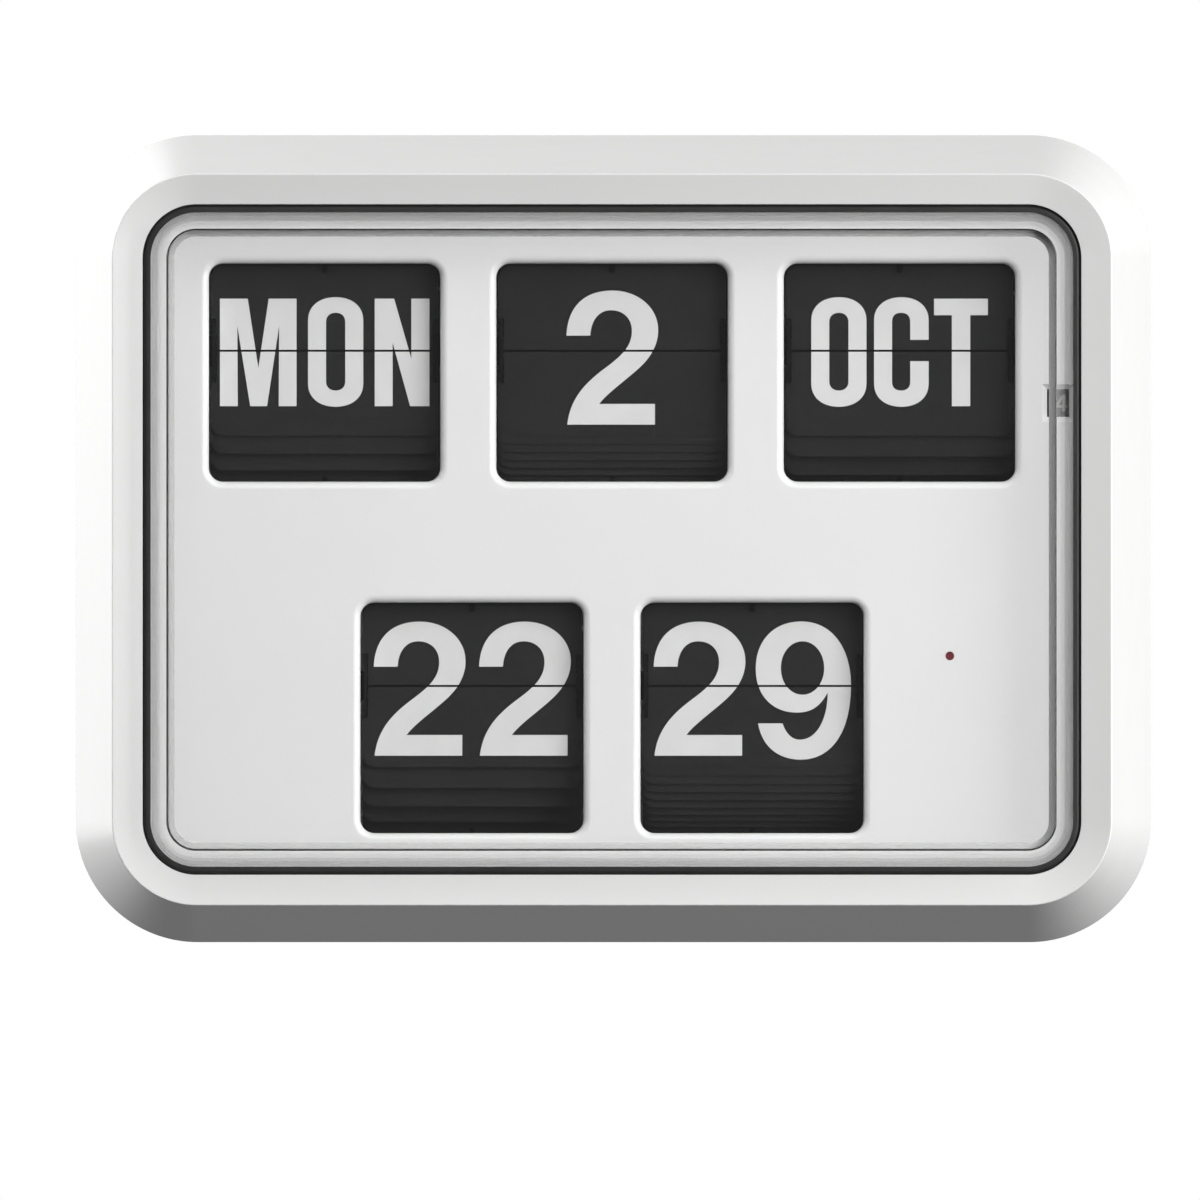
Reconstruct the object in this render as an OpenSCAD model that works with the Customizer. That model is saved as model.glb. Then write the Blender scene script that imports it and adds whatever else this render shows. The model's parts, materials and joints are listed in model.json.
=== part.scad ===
// Calendar flip clock for a wall: a drafted case with a raised clear cover and five split-leaf displays.
// Modelled lying on its back, with X to the right, Y up the dial and Z away from the wall, then stood up
// by placed() so that the front faces -Y. The origin is midway between the two hanging holes, on the wall.

/* [Case] */
// Width of the case at the wall
case_w = 365; // [355:1:385]
// Height of the case at the wall
case_h = 274; // [268:1:290]
// Corner radius of the case at the wall
corner_r = 41.5; // [39:0.5:44]
// How far each side leans in between the wall and the front edge
side_lean = 12.9; // [11.5:0.1:13.5]
// Wall thickness of the case
wall_t = 3; // [2.6:0.1:3.2]
// Width of the dished bezel
bezel_w = 10.4; // [9.8:0.1:11]
// Depth of the bezel's dish
bezel_dish = 3; // [1:0.25:4]
// Thickness of the lip that holds the clear cover
lip_t = 2.5; // [2:0.1:4]

/* [Clear cover] */
// Thickness of the pane
pane_t = 2.5; // [1.5:0.1:3.5]
// How far the cover's walls lean in up to the pane
cover_lean = 5.9; // [3:0.1:7]
// Thickness of the cover's clamped flange
flange_t = 2.5; // [2:0.1:4]
// Width of the gasket between the lip and the cover
gasket_w = 2.9; // [2:0.1:3.2]
// Height of the gasket
gasket_h = 2; // [1:0.1:2.4]

/* [Window plate] */
// Thickness of the plate with the windows
plate_t = 3; // [2.8:0.1:4]
// Corner radius of a window
window_r = 4.75; // [4:0.25:6]
// Rounding of a window's front edge
window_round = 2.6; // [1:0.1:2.7]
// Indicator hole diameter
indicator_d = 3; // [2:0.1:4]

/* [Calendar row] */
// Height of the calendar axis above the middle of the case
cal_y = 64; // [60:0.5:66]
// From the side of the case to the first calendar window
cal_margin = 45.75; // [44:0.25:50]
// Space between calendar windows
cal_space = 19; // [17:0.5:24]
// Window above the calendar axis
cal_up = 29.6; // [28:0.1:30]
// Window below the calendar axis
cal_down = 44.4; // [40:0.1:46]

/* [Time row] */
// Height of the time axis above the middle of the case
time_y = -49.7; // [-52:0.1:-46]
// From the side of the case to the first time window
time_margin = 97.15; // [95:0.05:105]
// Space between the hour and minute windows
time_space = 19.3; // [17:0.1:24]
// Window above the time axis
time_up = 28.3; // [27:0.1:29]
// Window below the time axis
time_down = 49.9; // [44:0.1:51]

/* [Leaves and drums] */
// Thickness of a leaf
leaf_t = 0.15; // [0.1:0.01:0.16]
// Radius of the circle of leaf hinges
hinge_r = 28; // [27.5:0.1:29]
// Weekday leaves, an even number
weekday_leaves = 28; // [20:2:28]
// Date leaves, an even number
date_leaves = 62; // [30:2:62]
// Month leaves, an even number
month_leaves = 24; // [20:2:28]
// Hour leaves, an even number
hour_leaves = 24; // [20:2:28]
// Minute leaves, an even number
minute_leaves = 60; // [30:2:62]
// Diameter of the two axles
axle_d = 4; // [3:0.1:5]

/* [Gears] */
// Gear module
gear_m = 1.2; // [1.15:0.01:1.2]
// Teeth on a drum gear
drum_teeth = 32; // [32:4:32]
// Teeth on a setting wheel
wheel_teeth = 20; // [20:2:20]
// Teeth on the drive and carry pinions
pinion_teeth = 12; // [12:4:12]

/* [Back and battery] */
// Thickness of the rear cover
rear_t = 2.5; // [2.2:0.1:3]
// Height of the hanging holes above the middle of the case
hanger_rise = 112; // [106:1:116]
// Distance between the hanging holes
hanger_span = 160; // [140:1:180]
// Diameter of a hanging hole's entry
hanger_entry_d = 9.5; // [8:0.1:11]
// Width of a hanging hole's slot
hanger_slot_w = 4.5; // [4:0.1:6]
// Diameter of the dry cell
cell_d = 33.2; // [32:0.1:34.2]
// Length of the dry cell with its terminal
cell_l = 61; // [59.5:0.1:61.5]

/* [Hidden] */
$fn = 64;

// Clearances
run_gap = 0.05;     // radial, round pieces that turn
seat_gap = 0.02;    // radial, round pieces that are pressed on
side_gap = 0.3;     // between pieces that pass or face each other
cover_gap = 0.3;    // round the rear cover
leaf_side_gap = 0.6;
leaf_top_gap = 0.8;
split_gap = 0.35;   // from the split line to a leaf's inner edge
pack_gap = 1.8;     // from the farthest leaf to the rear cover
leaf_room = 4.5;    // from the hinge circle to the window plate
sweep_gap = 2.5;    // from a falling leaf to the pane
bite = 0.5;         // how deep a boss or a cut runs past a face

// Displays, in this order in every list
WEEKDAY = 0;
DATE = 1;
MONTH = 2;
HOUR = 3;
MINUTE = 4;
leaves = [weekday_leaves, date_leaves, month_leaves, hour_leaves, minute_leaves];

// The windows of a row share what the margins and spaces leave of the case's width
cal_window_w = (case_w - 2 * cal_margin - 2 * cal_space) / 3;
cal_pitch = cal_window_w + cal_space;
time_window_w = (case_w - 2 * time_margin - time_space) / 2;
time_pitch = time_window_w + time_space;
display_x = [-cal_pitch, 0, cal_pitch, -time_pitch / 2, time_pitch / 2];
function in_time_row(d) = d >= HOUR;
function axis_y(d) = in_time_row(d) ? time_y : cal_y;
function window_w(d) = in_time_row(d) ? time_window_w : cal_window_w;
function window_up(d) = in_time_row(d) ? time_up : cal_up;
function window_down(d) = in_time_row(d) ? time_down : cal_down;
function leaf_w(d) = window_w(d) - 2 * leaf_side_gap;
function left_edge(d) = display_x[d] - leaf_w(d) / 2;
function right_edge(d) = display_x[d] + leaf_w(d) / 2;

// A leaf's pin sits half a step from the split line, and its free edge near the window's top
function step(d) = 360 / leaves[d];
function pin_rise(d) = hinge_r * sin(step(d) / 2);
function tail(d) = pin_rise(d) - split_gap;
function reach(d) = window_up(d) - leaf_top_gap - pin_rise(d);
function tip_r(d) = sqrt(pow(hinge_r, 2) + pow(reach(d), 2) + 2 * hinge_r * reach(d) * sin(step(d) / 2));
notch_w = 2;
notch_h = 10.9;
leaf_corner = 4.2;
ear_h = 0.9;
disc_t = 1.2;
disc_rim = 1.2;
disc_r = hinge_r + disc_rim;
hinge_hole_d = 1.2;
hub_r = 5;
spoke_hole_r = 6.5;
spoke_hole_at = 16.5;
spoke_holes = 6;

// Depths from the wall
pack_r = max([for (d = [WEEKDAY:MINUTE]) tip_r(d)]);
max_reach = max([for (d = [WEEKDAY:MINUTE]) reach(d)]);
axis_z = rear_t + pack_gap + pack_r;
plate_back = axis_z + hinge_r + leaf_room;
plate_front = plate_back + plate_t;
flange_front = plate_front + flange_t;
lip_front = flange_front + lip_t;
case_front = lip_front + bezel_dish;
pane_back = axis_z + hinge_r + max_reach + sweep_gap;
pane_front = pane_back + pane_t;

// All outlines of the case share their corner centres, so each is known by its corner radius
corner_x = case_w / 2 - corner_r;
corner_y = case_h / 2 - corner_r;
front_r = corner_r - side_lean;
lip_r = front_r - bezel_w;
gasket_in_r = lip_r - gasket_w;
flange_grip = 2.8;  // how far the cover's flange reaches under the lip
flange_r = lip_r + flange_grip;
cover_slope = cover_lean / (pane_front - flange_front);
pane_r = gasket_in_r + gasket_h * cover_slope - cover_lean;
cover_wall = 2.6;
pane_in_r = pane_r - cover_wall;
cover_foot_in_r = pane_in_r + cover_slope * (pane_back - plate_front);
function outer_r(z) = corner_r - side_lean * z / case_front;
function inner_r(z) = outer_r(z) - wall_t;
function cover_r(z) = pane_r + cover_slope * (pane_front - z);
plate_r = inner_r(plate_front) - 2 * cover_gap;
rear_r = inner_r(rear_t) - cover_gap;

// Gears
drum_gear_r = gear_m * drum_teeth / 2;
wheel_r = gear_m * wheel_teeth / 2;
pinion_r = gear_m * pinion_teeth / 2;
gear_t = 5;
gear_at = 1;        // from a leaf's edge to the gear beside it
wheel_z = axis_z - drum_gear_r - wheel_r;
pinion_off = drum_gear_r + pinion_r;
addendum = 0.75;
dedendum = 1.05;
pressure = 20;
backlash = 0.15;
arbor_r = 1.5;
arbor_collar = 0.7; // how far an arbor's head or collar stands out
arbor_head_t = 1;
cam_drop = 2.4;     // from the carry pinion's pitch circle to the cam's rim, in modules
cam_root = 2;       // half widths of the cam's finger
cam_neck = 1.5;
cam_tip = 0.5;

// Brackets stand beside each drum, outside the gear
bracket_t = 1.5;
bracket_at = 8;     // from a leaf's edge to the bracket beside it
bracket_half = 22;
bracket_back = 6;
bracket_tail = 8;
pad_t = 4;
pad_front = plate_back - pad_t;
pad_at = 1;         // from a leaf's edge to the pad beside it
axle_r = axle_d / 2;
axle_over = 2.5;
clip_t = 0.8;
clip_r = 3.6;

// Screws
screw_r = 1.25;
head_r = 2.6;
head_t = 1.6;
thread_l = 5;
boss_r = 5;
boss_at = 31;
boss_l = 32;
screw_edge = 2.4;   // from a plate screw's middle to the plate's edge
plate_screw_at = plate_r - screw_edge;
plate_screw_x = 70;

// Movement
movement_x = right_edge(MINUTE) + bracket_at + bracket_t;
movement_w = 40;
movement_behind = 18.5;
movement_ahead = 19.5;
movement_below = 31;
movement_above = 15;
movement_z0 = axis_z - movement_behind;
movement_z1 = axis_z + movement_ahead;
movement_y0 = time_y - movement_below;
movement_y1 = time_y + pinion_off + movement_above;
movement_wall = 2;
movement_screw_drop = 11;
movement_screw_half = 11.5;
axle_room = 1;      // round an axle's clip, in the movement's wall
motor_r = 11;
motor_l = 26;
board_t = 1.6;
board_h = 40;
board_edge = 6;
indicator_at = 20.35;
indicator_rise = 10.2;
indicator_x = movement_x + indicator_at;
indicator_y = time_y + indicator_rise;
run_disc_r = 9;
run_disc_t = 1;
run_disc_off = 5.5; // from the disc's middle to the hole
run_disc_y = indicator_y - run_disc_off;
run_arbor_r = 1;

// Leap-year wheel, on an arbor from the last calendar bracket
leap_w = 5.6;
leap_r = 8;
leap_stand = 1.7;   // from the bracket to the wheel
leap_drop = 17.7;   // from the calendar axis down to the wheel's
leap_gap = 0.5;
leap_x = right_edge(MONTH) + bracket_at + bracket_t + leap_stand + leap_w / 2;
leap_y = cal_y - leap_drop;
leap_z = plate_back - leap_gap - leap_r;
leap_window_w = 5.2;
leap_window_h = 9.4;
leap_bevel = 1.7;

// Battery box, part of the rear cover, beside the first time bracket
box_wall = 2;
cell_gap = 0.8;
cell_tip_l = 1.5;
cell_tip_r = 4.7;
contact_t = 0.4;
contact_half_h = 8;
contact_half_z = 10;
contact_pad = [4, 6];
box_gap = 2.05;     // from the bracket to the box
box_drop = 16.3;    // from the time axis down to the cell's
box_floor = 0.6;
box_w = cell_l + 2 * (cell_gap + contact_t) + 2 * box_wall;
box_h = cell_d + 2 * cell_gap + 2 * box_wall;
box_x = left_edge(HOUR) - bracket_at - bracket_t - box_gap - box_w / 2;
box_y = time_y - box_drop;
box_back = rear_t + cell_d + cell_gap + box_wall + box_floor;
cell_z = box_back - box_wall - cell_gap / 2 - cell_d / 2;
door_t = 1.8;
door_ledge = 2.5;
door_gap = 0.3;
door_lift = 0.4;    // how far the door's face sits in from the wall

// Spring fingers
finger_w = 1.9;
finger_t = 0.5;
finger_foot = 8;
finger_clear = 0.4; // from a window's edge to the finger's bend
finger_slope = 1.1; // from the bend to the foot
finger_lap = 0.2;
finger_drop = 3.1;
finger_rise = 1.7;
finger_stand = 1;   // from the lower finger to the plate

// Slots over the setting wheels, too narrow to look through past a leaf's edge
wheel_slot_w = gear_t + 2 * side_gap;
wheel_slot_h = 19;

// Stands the clock up, with the hanging holes at the origin
module placed() {
    translate([0, 0, -hanger_rise]) rotate([90, 0, 0]) children();
}

// Sweeps a profile of corner radius and depth round a rounded rectangle with these corner centres
module ring(half_x, half_y) {
    for (q = [0:3]) {
        along = q % 2 == 0 ? half_x : half_y;
        out = q % 2 == 0 ? half_y : half_x;
        rotate([0, 0, 90 * q]) {
            translate([-along, out, 0]) rotate([90, 0, 90]) linear_extrude(2 * along) children();
            translate([along, out, 0]) rotate_extrude(angle = 90) children();
        }
    }
}

// Rounded rectangle with these corner centres and corner radius
module rounded(half_x, half_y, r) {
    square([2 * half_x, 2 * (half_y + r)], center = true);
    square([2 * (half_x + r), 2 * half_y], center = true);
    for (sx = [-1, 1], sy = [-1, 1]) translate([sx * half_x, sy * half_y]) circle(r);
}

// Slab of a 2D shape between two depths
module slab(z0, z1) {
    translate([0, 0, z0]) linear_extrude(z1 - z0) children();
}

// Plate square to X: its shape's first axis points to the wall and its second up the dial
module side_plate(x, t) {
    translate([x, 0, 0]) rotate([0, 90, 0]) linear_extrude(t) children();
}

// Round bar along X
module bar(x0, x1, y, z, r) {
    translate([x0, y, z]) rotate([0, 90, 0]) cylinder(h = x1 - x0, r = r);
}

// Round bar along Z
module post(x, y, z0, z1, r) {
    translate([x, y, z0]) cylinder(h = z1 - z0, r = r);
}

// Box between two corners
module block(from, to) {
    translate(from) cube(to - from);
}

// Half the angle that a tooth fills at radius r, on a gear of n teeth
function involute(a) = tan(a) * 180 / PI - a;
function tooth_half(n, r) =
    let (pitch_r = gear_m * n / 2, base_r = pitch_r * cos(pressure))
    90 / n - backlash / 2 / pitch_r * 180 / PI + involute(pressure)
        - involute(acos(min(1, base_r / max(r, base_r))));
function polar(r, a) = [r * cos(a), r * sin(a)];

// Gear outline with a tooth centred at angle phase
module gear_shape(n, phase) {
    pitch_r = gear_m * n / 2;
    radii = [pitch_r - dedendum * gear_m, pitch_r, pitch_r + addendum * gear_m];
    polygon([for (i = [0:n - 1]) each [
        for (k = [0:2]) polar(radii[k], phase + 360 * i / n - tooth_half(n, radii[k])),
        for (k = [2:-1:0]) polar(radii[k], phase + 360 * i / n + tooth_half(n, radii[k]))]]);
}

// Screw along Z with its head's top at z and its tip at depth l beyond the head
module screw(x, y, z, l) {
    post(x, y, z, z + head_t, head_r);
    post(x, y, z + head_t - bite, z + head_t + l, screw_r);
}

// Places of the screws that hold the window plate and the rear cover
plate_screw_points = [
    for (sx = [-1, 1], sy = [-1, 1]) [sx * corner_x, sy * corner_y] + plate_screw_at * [sx, sy] / sqrt(2),
    for (sx = [-1, 1], sy = [-1, 1]) [sx * plate_screw_x, sy * (corner_y + plate_screw_at)],
    for (sx = [-1, 1]) [sx * (corner_x + plate_screw_at), 0]];
rear_screw_points = [
    for (sx = [-1, 1], sy = [-1, 1]) [sx * corner_x, sy * corner_y] + boss_at * [sx, sy] / sqrt(2),
    for (sy = [-1, 1]) [0, sy * (corner_y + boss_at)]];

module front_case() {
    color("white") difference() {
        union() {
            ring(corner_x, corner_y) polygon([
                [corner_r, 0], [front_r, case_front], [lip_r, lip_front], [lip_r, flange_front],
                [flange_r + side_gap, flange_front], [flange_r + side_gap, plate_front],
                [inner_r(plate_front), plate_front], [inner_r(0), 0]]);
            for (p = rear_screw_points) post(p.x, p.y, rear_t, rear_t + boss_l, boss_r);
        }
        for (p = rear_screw_points)
            post(p.x, p.y, rear_t - bite, rear_t + 2 * thread_l + bite, screw_r + seat_gap);
        for (p = plate_screw_points)
            post(p.x, p.y, plate_front - bite, plate_front + thread_l + bite, screw_r + seat_gap);
    }
}

module crystal() {
    color("azure", 0.25) {
        ring(corner_x, corner_y) polygon([
            [flange_r, plate_front], [flange_r, flange_front], [cover_r(flange_front), flange_front],
            [pane_r, pane_front], [pane_in_r, pane_front], [pane_in_r, pane_back],
            [cover_foot_in_r, plate_front]]);
        slab(pane_back, pane_front) rounded(corner_x, corner_y, pane_in_r);
    }
}

module crystal_gasket() {
    top = flange_front + gasket_h;
    color("black") ring(corner_x, corner_y) polygon([
        [cover_r(flange_front) + run_gap, flange_front], [lip_r - run_gap, flange_front],
        [lip_r - run_gap, top], [cover_r(top) + run_gap, top]]);
}

// Quarter round that is cut away along a window's front edge
module edge_round() {
    difference() {
        translate([window_r - bite, plate_front - window_round])
            square([window_round + bite, window_round + bite]);
        translate([window_r + window_round, plate_front - window_round]) circle(window_round);
    }
}

module window_cut(d) {
    half_x = window_w(d) / 2 - window_r;
    half_y = (window_up(d) + window_down(d)) / 2 - window_r;
    translate([display_x[d], axis_y(d) + (window_up(d) - window_down(d)) / 2, 0]) {
        slab(plate_back - bite, plate_front + bite) rounded(half_x, half_y, window_r);
        ring(half_x, half_y) edge_round();
    }
}

module leap_window_cut() {
    translate([leap_x, leap_y, 0]) {
        slab(plate_back - bite, plate_front + bite) square([leap_window_w, leap_window_h], center = true);
        hull() {
            slab(plate_front - leap_bevel, plate_front)
                square([leap_window_w, leap_window_h], center = true);
            slab(plate_front, plate_front + bite)
                square([leap_window_w + 2 * leap_bevel, leap_window_h + 2 * leap_bevel], center = true);
        }
    }
}

module window_plate() {
    color("ivory") difference() {
        union() {
            slab(plate_back, plate_front) rounded(corner_x, corner_y, plate_r);
            for (b = brackets) block(
                [min(pad_x(b), plate_x(b)), b.y - bracket_half, pad_front],
                [max(pad_x(b), plate_x(b) + bracket_t), b.y + bracket_half, plate_back + bite]);
        }
        for (d = [WEEKDAY:MINUTE]) window_cut(d);
        leap_window_cut();
        post(indicator_x, indicator_y, plate_back - bite, plate_front + bite, indicator_d / 2);
        for (p = plate_screw_points)
            post(p.x, p.y, plate_back - bite, plate_front + bite, screw_r + side_gap);
        for (p = bracket_screw_points)
            post(p.x, p.y, pad_front - bite, pad_front + thread_l + bite, screw_r + seat_gap);
    }
}

// A bracket is [x of the leaf edge beside it, y of its axle, which side of the drum it is on]
brackets = [
    [left_edge(WEEKDAY), cal_y, -1], [right_edge(WEEKDAY), cal_y, 1], [right_edge(DATE), cal_y, 1],
    [right_edge(MONTH), cal_y, 1], [left_edge(HOUR), time_y, -1], [right_edge(HOUR), time_y, 1],
    [right_edge(MINUTE), time_y, 1]];
function plate_x(b) = b.z > 0 ? b.x + bracket_at : b.x - bracket_at - bracket_t;
function pad_x(b) = b.x + b.z * pad_at;
bracket_screw_points = [
    for (b = brackets, s = [-1, 1]) [b.x + b.z * (pad_at + bracket_at) / 2, b.y + s * bracket_half * 0.7]];

module bracket(b) {
    difference() {
        union() {
            side_plate(plate_x(b), bracket_t) polygon([
                [-pad_front, b.y - bracket_half], [-pad_front, b.y + bracket_half],
                [-axis_z, b.y + bracket_half], [-bracket_back, b.y + bracket_tail],
                [-bracket_back, b.y - bracket_tail], [-axis_z, b.y - bracket_half]]);
            block([min(pad_x(b), plate_x(b)), b.y - bracket_half, pad_front - bracket_t],
                [max(pad_x(b), plate_x(b) + bracket_t), b.y + bracket_half, pad_front]);
        }
        bar(plate_x(b) - bite, plate_x(b) + bracket_t + bite, b.y, axis_z, axle_r + seat_gap);
        for (p = bracket_screw_points)
            post(p.x, p.y, pad_front - bracket_t - bite, pad_front + bite, screw_r + side_gap);
        children();
    }
}

// Hole through a bracket's plate
module bracket_hole(b, y, z, r) {
    bar(plate_x(b) - bite, plate_x(b) + bracket_t + bite, y, z, r);
}

module upper_brackets() {
    color("lightsteelblue") {
        bracket(brackets[0]);
        for (i = [1, 2]) bracket(brackets[i]) bracket_hole(brackets[i], cal_y, wheel_z, arbor_r + seat_gap);
        bracket(brackets[3]) {
            bracket_hole(brackets[3], cal_y, wheel_z, arbor_r + seat_gap);
            bracket_hole(brackets[3], leap_y, leap_z, arbor_r + seat_gap);
        }
    }
}

module lower_brackets() {
    color("lightsteelblue") {
        bracket(brackets[4]);
        bracket(brackets[5]) bracket_hole(brackets[5], time_y, axis_z - pinion_off, arbor_r + run_gap);
        bracket(brackets[6]) {
            bracket_hole(brackets[6], time_y, wheel_z, arbor_r + seat_gap);
            for (p = movement_screw_points) bracket_hole(brackets[6], p.x, p.y, screw_r + side_gap);
        }
    }
}

// Axle through a row's brackets, from its first bracket to its last
module axle(first, last) {
    color("silver") bar(plate_x(first) - axle_over, plate_x(last) + bracket_t + axle_over,
        first.y, axis_z, axle_r);
}

module upper_axle() { axle(brackets[0], brackets[3]); }
module lower_axle() { axle(brackets[4], brackets[6]); }

module axle_clip(x, y) {
    difference() {
        bar(x, x + clip_t, y, axis_z, clip_r);
        bar(x - bite, x + clip_t + bite, y, axis_z, axle_r + seat_gap);
    }
}

module axle_clips() {
    color("dimgray") {
        for (b = [brackets[0], brackets[4]]) axle_clip(plate_x(b) - clip_t - run_gap, b.y);
        for (b = [brackets[3], brackets[6]]) axle_clip(plate_x(b) + bracket_t + run_gap, b.y);
    }
}

// Leaf drum: two spoked discs on a hub, with a hole for each leaf's ears. Each hub runs to the brackets
function hub_start(d) = d == WEEKDAY || d == HOUR
    ? left_edge(d) - bracket_at + side_gap
    : right_edge(d - 1) + bracket_at + bracket_t + side_gap;
function hub_end(d) = right_edge(d) + bracket_at - side_gap;
function disc_x(d) = leaf_w(d) / 2 - notch_w + side_gap;

module drum(d) {
    color("gray") translate([0, axis_y(d), axis_z]) difference() {
        union() {
            bar(hub_start(d), hub_end(d), 0, 0, hub_r);
            for (x = [-disc_x(d) - disc_t, disc_x(d)])
                bar(display_x[d] + x, display_x[d] + x + disc_t, 0, 0, disc_r);
        }
        bar(hub_start(d) - bite, hub_end(d) + bite, 0, 0, axle_r + run_gap);
        for (i = [0:leaves[d] - 1]) rotate([-(i + 0.5) * step(d), 0, 0]) bar(
            left_edge(d), right_edge(d), 0, hinge_r, hinge_hole_d / 2);
        for (i = [0:spoke_holes - 1]) rotate([360 * i / spoke_holes, 0, 0]) bar(
            left_edge(d), right_edge(d), 0, spoke_hole_at, spoke_hole_r);
    }
}

// Gear on a drum's hub, with a tooth gap facing the wall
module drum_gear(d) {
    color("goldenrod") translate([0, axis_y(d), axis_z]) difference() {
        side_plate(right_edge(d) + gear_at, gear_t) gear_shape(drum_teeth, 180 / drum_teeth);
        bar(right_edge(d), right_edge(d) + gear_at + gear_t + bite, 0, 0, hub_r + seat_gap);
    }
}

// Right half of a leaf's outline, from the split line to the free edge, with its pin at the origin
function half_leaf(d) =
    let (w = leaf_w(d) / 2, neck = w - notch_w, far = reach(d), ear = neck + disc_t + 2 * side_gap)
    [[neck, -tail(d)], [neck, -ear_h / 2], [ear, -ear_h / 2], [ear, ear_h / 2], [neck, ear_h / 2],
        [neck, notch_h - pin_rise(d)], [w, notch_h - pin_rise(d)],
        for (a = [0:15:90]) [w - leaf_corner, far - leaf_corner] + polar(leaf_corner, a)];

module leaf(d) {
    right = half_leaf(d);
    last = len(right) - 1;
    left = [for (i = [last:-1:0]) [-right[i].x, right[i].y]];
    slab(-leaf_t / 2, leaf_t / 2) polygon(concat(right, left));
}

// Leaf i of a drum, counted up and over from the front. The upper half leans on the drum, the rest hangs
module leaf_at(d, i) {
    at = (i + 0.5) * step(d);
    lean = i < leaves[d] / 2 ? i * step(d) : 180;
    translate([display_x[d], axis_y(d) + hinge_r * sin(at), axis_z + hinge_r * cos(at)])
        rotate([-lean, 0, 0]) leaf(d);
}

module leaf_pack(d) {
    color("#343434") for (i = [1:leaves[d] - 1]) leaf_at(d, i);
}

module falling_leaf(d) {
    color("#3a3a3a") leaf_at(d, 0);
}

// Spring finger from a foot behind the plate, beyond a window's edge, to a tip that shows in the window.
// side is 1 at the top of the window and -1 at the bottom
module finger(d, edge, side, near, tip) {
    far = near + finger_t;
    bend = edge + side * finger_clear;
    foot = bend + side * finger_slope;
    lap = side * finger_lap;
    side_plate(display_x[d] - finger_w / 2, finger_w) polygon([
        [-plate_back, edge + side * finger_foot], [-plate_back, foot], [-far, bend],
        [-far, edge - side * tip], [-near, edge - side * tip], [-near, bend + lap],
        [-plate_back + finger_t, foot + lap], [-plate_back + finger_t, edge + side * finger_foot]]);
}

module top_fingers() {
    color("#282828") for (d = [WEEKDAY:MINUTE])
        finger(d, axis_y(d) + window_up(d), 1, axis_z + hinge_r + finger_t, finger_drop);
}

module lower_fingers() {
    color("#282828") for (d = [WEEKDAY:MINUTE])
        finger(d, axis_y(d) - window_down(d), -1, plate_back - 2 * finger_t - finger_stand, finger_rise);
}

// Toothed wheel at the back that turns a drum's gear by hand
module setting_wheel(d) {
    color("whitesmoke") translate([0, axis_y(d), wheel_z]) difference() {
        side_plate(right_edge(d) + gear_at, gear_t) gear_shape(wheel_teeth, 0);
        bar(right_edge(d), right_edge(d) + gear_at + gear_t + bite, 0, 0, arbor_r + run_gap);
    }
}

// Stub pin in a bracket for each setting wheel, with a small head
module setting_arbors() {
    color("silver") for (d = [WEEKDAY, DATE, MONTH, MINUTE]) {
        x = right_edge(d) + side_gap;
        bar(x, x + gear_at - 1.5 * side_gap, axis_y(d), wheel_z, arbor_r + arbor_collar);
        bar(x, right_edge(d) + bracket_at + bracket_t, axis_y(d), wheel_z, arbor_r);
    }
}

// Pinion that carries to the hour gear. Its star on the far side of the bracket meets the carry cam
module carry_pinion() {
    x = right_edge(HOUR);
    star_x = x + bracket_at + bracket_t + 2 * side_gap;
    color("whitesmoke") translate([0, time_y, axis_z - pinion_off]) {
        side_plate(x + gear_at, gear_t) gear_shape(pinion_teeth, 0);
        bar(x + gear_at, star_x + gear_t / 2, 0, 0, arbor_r);
        side_plate(star_x, gear_t / 2) gear_shape(pinion_teeth, 0);
    }
}

// Cam on the minute hub with one finger, half a turn away from the carry pinion at this reading
module carry_cam() {
    x = right_edge(HOUR) + bracket_at + bracket_t + 2 * side_gap;
    rim = pinion_off - pinion_r - cam_drop * gear_m;
    color("goldenrod") translate([0, time_y, axis_z]) difference() {
        side_plate(x, gear_t / 2) {
            circle(rim);
            rotate(180 - step(MINUTE) / 2) polygon([
                [0, -cam_root], [rim, -cam_neck], [drum_gear_r + addendum * gear_m, -cam_tip],
                [drum_gear_r + addendum * gear_m, cam_tip], [rim, cam_neck], [0, cam_root]]);
        }
        bar(x - bite, x + gear_t, 0, 0, hub_r + seat_gap);
    }
}

// Movement box on the lower right bracket, open at the back
movement_screw_points = [
    for (s = [-1, 1]) [time_y - movement_screw_drop, axis_z + s * movement_screw_half]];
module movement_case() {
    x1 = movement_x + movement_w;
    color("#d9d9d4") difference() {
        block([movement_x, movement_y0, movement_z0], [x1, movement_y1, movement_z1]);
        block([movement_x + movement_wall, movement_y0 + movement_wall, movement_z0 - bite],
            [x1 - movement_wall, movement_y1 - movement_wall, movement_z1 - movement_wall]);
        bar(movement_x - bite, movement_x + movement_wall + bite, time_y, axis_z, clip_r + axle_room);
        bar(movement_x - bite, movement_x + movement_wall + bite, time_y + pinion_off, axis_z,
            arbor_r + run_gap);
        for (p = movement_screw_points)
            bar(movement_x - bite, movement_x + movement_wall + bite, p.x, p.y, screw_r + seat_gap);
        post(indicator_x, run_disc_y, movement_z1 - movement_wall - bite, movement_z1 + bite,
            run_arbor_r + run_gap);
    }
}

module drive_motor() {
    x = movement_x + movement_wall;
    color("silver") difference() {
        bar(x, x + motor_l, time_y + pinion_off, axis_z, motor_r);
        bar(x - bite, x + motor_l / 2 + bite, time_y + pinion_off, axis_z, arbor_r + run_gap);
    }
}

module circuit_board() {
    x = movement_x + movement_w - movement_wall;
    color("darkgreen") block([x - board_t, movement_y0 + board_edge, movement_z0 + board_edge],
        [x, movement_y0 + board_edge + board_h, movement_z1 - board_edge]);
}

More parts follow.
